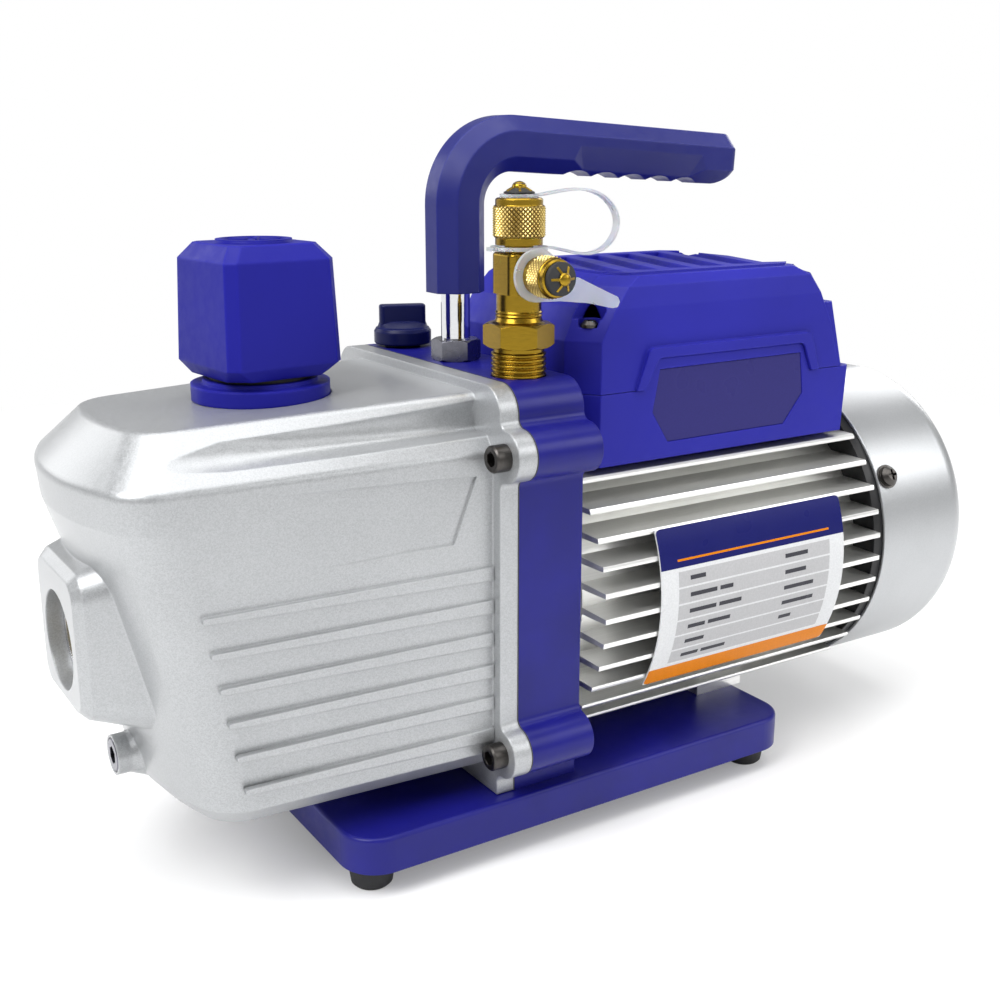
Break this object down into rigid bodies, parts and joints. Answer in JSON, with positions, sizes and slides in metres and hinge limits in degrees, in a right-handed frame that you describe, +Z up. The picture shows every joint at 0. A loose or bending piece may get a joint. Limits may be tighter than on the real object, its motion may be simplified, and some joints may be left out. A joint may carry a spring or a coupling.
{
  "type": "rotary vane vacuum pump",
  "caption": "Portable oil-sealed rotary vane vacuum pump with finned motor, silver oil casing, blue bracket and carrying handle, and capped brass intake tee.",
  "frame": {"origin": "on the floor under the middle of the pump's length and width", "axes": "+X along the shaft from the sight glass end to the fan cover, +Z up, intake and nameplate on -Y"},
  "size_m": [0.4, 0.1544, 0.2764],
  "materials": {
    "blue_cast": "painted, semi-gloss",
    "blue_plastic": "moulded, fine grain",
    "silver_paint": "silver sparkle paint",
    "bare_aluminium": "as extruded",
    "silver_sheet": "silver sparkle paint on sheet steel",
    "black_cast": "black paint",
    "rubber_black": "matt",
    "gasket": "flat sheet",
    "screw_dark": "black oxide",
    "zinc_steel": "zinc plated",
    "chrome_post": "polished",
    "brass": "turned",
    "white_nylon": "thin, slightly see-through",
    "glass": "clear",
    "iron": "machined",
    "steel": "ground",
    "lamination": "stacked sheet",
    "copper": "enamelled wire",
    "black_plastic": "moulded",
    "rocker": "gloss",
    "label": "printed film",
    "badge": "printed film",
    "vane": "fibre composite",
    "felt": "pressed mesh"
  },
  "bodies": {
    "frame": {"base_plate": "blue_cast", "rubber_feet": "rubber_black", "base_bolts": "zinc_steel", "pump_bracket": "blue_cast", "oil_casing": "silver_paint", "casing_gasket": "gasket", "casing_screws": "screw_dark", "sight_glass": "glass", "sight_glass_ring": "steel", "exhaust_port": "blue_plastic", "exhaust_filter": "felt", "handle_grip": "blue_plastic", "handle_post": "chrome_post", "handle_nut": "zinc_steel", "intake_fitting": "brass", "intake_screen": "steel", "motor_housing": "bare_aluminium", "rear_end_shield": "black_cast", "stator_core": "lamination", "stator_windings": "copper", "motor_bearings": "steel", "fan_cover": "silver_sheet", "fan_cover_screws": "screw_dark", "nameplate": "label", "terminal_box_base": "blue_plastic", "terminal_box_lid": "blue_plastic", "box_badge": "badge", "lid_screws": "screw_dark", "run_capacitor": "black_plastic", "power_inlet": "black_plastic", "switch_housing": "black_plastic", "pump_stage_large": "iron", "pump_middle_plate": "iron", "pump_stage_small": "iron", "shaft_seal": "rubber_black", "exhaust_reed_valve": "steel", "pump_bolts": "screw_dark"},
    "drive": {"motor_shaft": "steel", "motor_rotor_core": "lamination", "cooling_fan": "black_plastic", "shaft_coupling": "steel", "pump_rotor_large": "steel", "pump_rotor_small": "steel"},
    "vane_large_near": {"vane_large_near": "vane"},
    "vane_large_far": {"vane_large_far": "vane"},
    "vane_small_near": {"vane_small_near": "vane"},
    "vane_small_far": {"vane_small_far": "vane"},
    "exhaust_seal": {"exhaust_cap_seal": "rubber_black"},
    "exhaust_cap": {"exhaust_cap": "blue_plastic"},
    "ballast_seal": {"gas_ballast_seal": "rubber_black"},
    "ballast_knob": {"gas_ballast_knob": "blue_plastic"},
    "top_tether": {"top_cap_tether": "white_nylon"},
    "top_cap": {"top_flare_cap": "brass", "top_cap_button": "rubber_black"},
    "side_tether": {"side_cap_tether": "white_nylon"},
    "side_cap": {"side_flare_cap": "brass", "side_cap_button": "rubber_black"},
    "drain_seal": {"drain_plug_seal": "rubber_black"},
    "drain_plug": {"drain_plug": "zinc_steel"},
    "switch_rocker": {"switch_rocker": "rocker"}
  },
  "joints": [
    {"name": "drive_turn", "type": "hinge", "parent": "frame", "child": "drive", "pos_m": [-0.0035, 0, 0.0915], "axis": [1, 0, 0], "continuous": true},
    {"name": "vane_large_near_slide", "type": "slide", "parent": "drive", "child": "vane_large_near", "axis": [0, -1, 0], "range_m": [0, 0.004]},
    {"name": "vane_large_far_slide", "type": "slide", "parent": "drive", "child": "vane_large_far", "axis": [0, 1, 0], "range_m": [0, 0.004]},
    {"name": "vane_small_near_slide", "type": "slide", "parent": "drive", "child": "vane_small_near", "axis": [0, -1, 0], "range_m": [0, 0.004]},
    {"name": "vane_small_far_slide", "type": "slide", "parent": "drive", "child": "vane_small_far", "axis": [0, 1, 0], "range_m": [0, 0.004]},
    {"name": "exhaust_cap_lift", "type": "slide", "parent": "frame", "child": "exhaust_seal", "axis": [0, 0, 1], "range_m": [0, 0.018]},
    {"name": "exhaust_cap_turn", "type": "hinge", "parent": "exhaust_seal", "child": "exhaust_cap", "pos_m": [-0.1205, 0, 0.2], "axis": [0, 0, 1], "range_deg": [0, 2160]},
    {"name": "ballast_lift", "type": "slide", "parent": "frame", "child": "ballast_seal", "axis": [0, 0, 1], "range_m": [0, 0.0025]},
    {"name": "ballast_turn", "type": "hinge", "parent": "ballast_seal", "child": "ballast_knob", "pos_m": [-0.0378, 0.0445, 0.19], "axis": [0, 0, 1], "range_deg": [0, 720]},
    {"name": "top_cap_lift", "type": "slide", "parent": "frame", "child": "top_tether", "axis": [0, 0, 1], "range_m": [0, 0.00987]},
    {"name": "top_cap_turn", "type": "hinge", "parent": "top_tether", "child": "top_cap", "pos_m": [-0.0372, -0.0445, 0.24], "axis": [0, 0, 1], "range_deg": [0, 2520]},
    {"name": "side_cap_lift", "type": "slide", "parent": "frame", "child": "side_tether", "axis": [0, -1, 0], "range_m": [0, 0.00889]},
    {"name": "side_cap_turn", "type": "hinge", "parent": "side_tether", "child": "side_cap", "pos_m": [-0.0372, -0.06, 0.2203], "axis": [0, -1, 0], "range_deg": [0, 2520]},
    {"name": "drain_lift", "type": "slide", "parent": "frame", "child": "drain_seal", "axis": [-1, 0, 0], "range_m": [0, 0.00875]},
    {"name": "drain_turn", "type": "hinge", "parent": "drain_seal", "child": "drain_plug", "pos_m": [-0.1815, 0, 0.0497], "axis": [-1, 0, 0], "range_deg": [0, 2520]},
    {"name": "switch_tilt", "type": "hinge", "parent": "frame", "child": "switch_rocker", "pos_m": [0.12214, 0.021, 0.18602], "axis": [0, 1, 0], "range_deg": [-18, 0]}
  ],
  "couplings": [
    {"joint": "exhaust_cap_lift", "follows": "exhaust_cap_turn", "m_per_rad": 0.00047746},
    {"joint": "ballast_lift", "follows": "ballast_turn", "m_per_rad": 0.00019894},
    {"joint": "top_cap_lift", "follows": "top_cap_turn", "m_per_rad": 0.00022441},
    {"joint": "side_cap_lift", "follows": "side_cap_turn", "m_per_rad": 0.00020213},
    {"joint": "drain_lift", "follows": "drain_turn", "m_per_rad": 0.00019894}
  ]
}
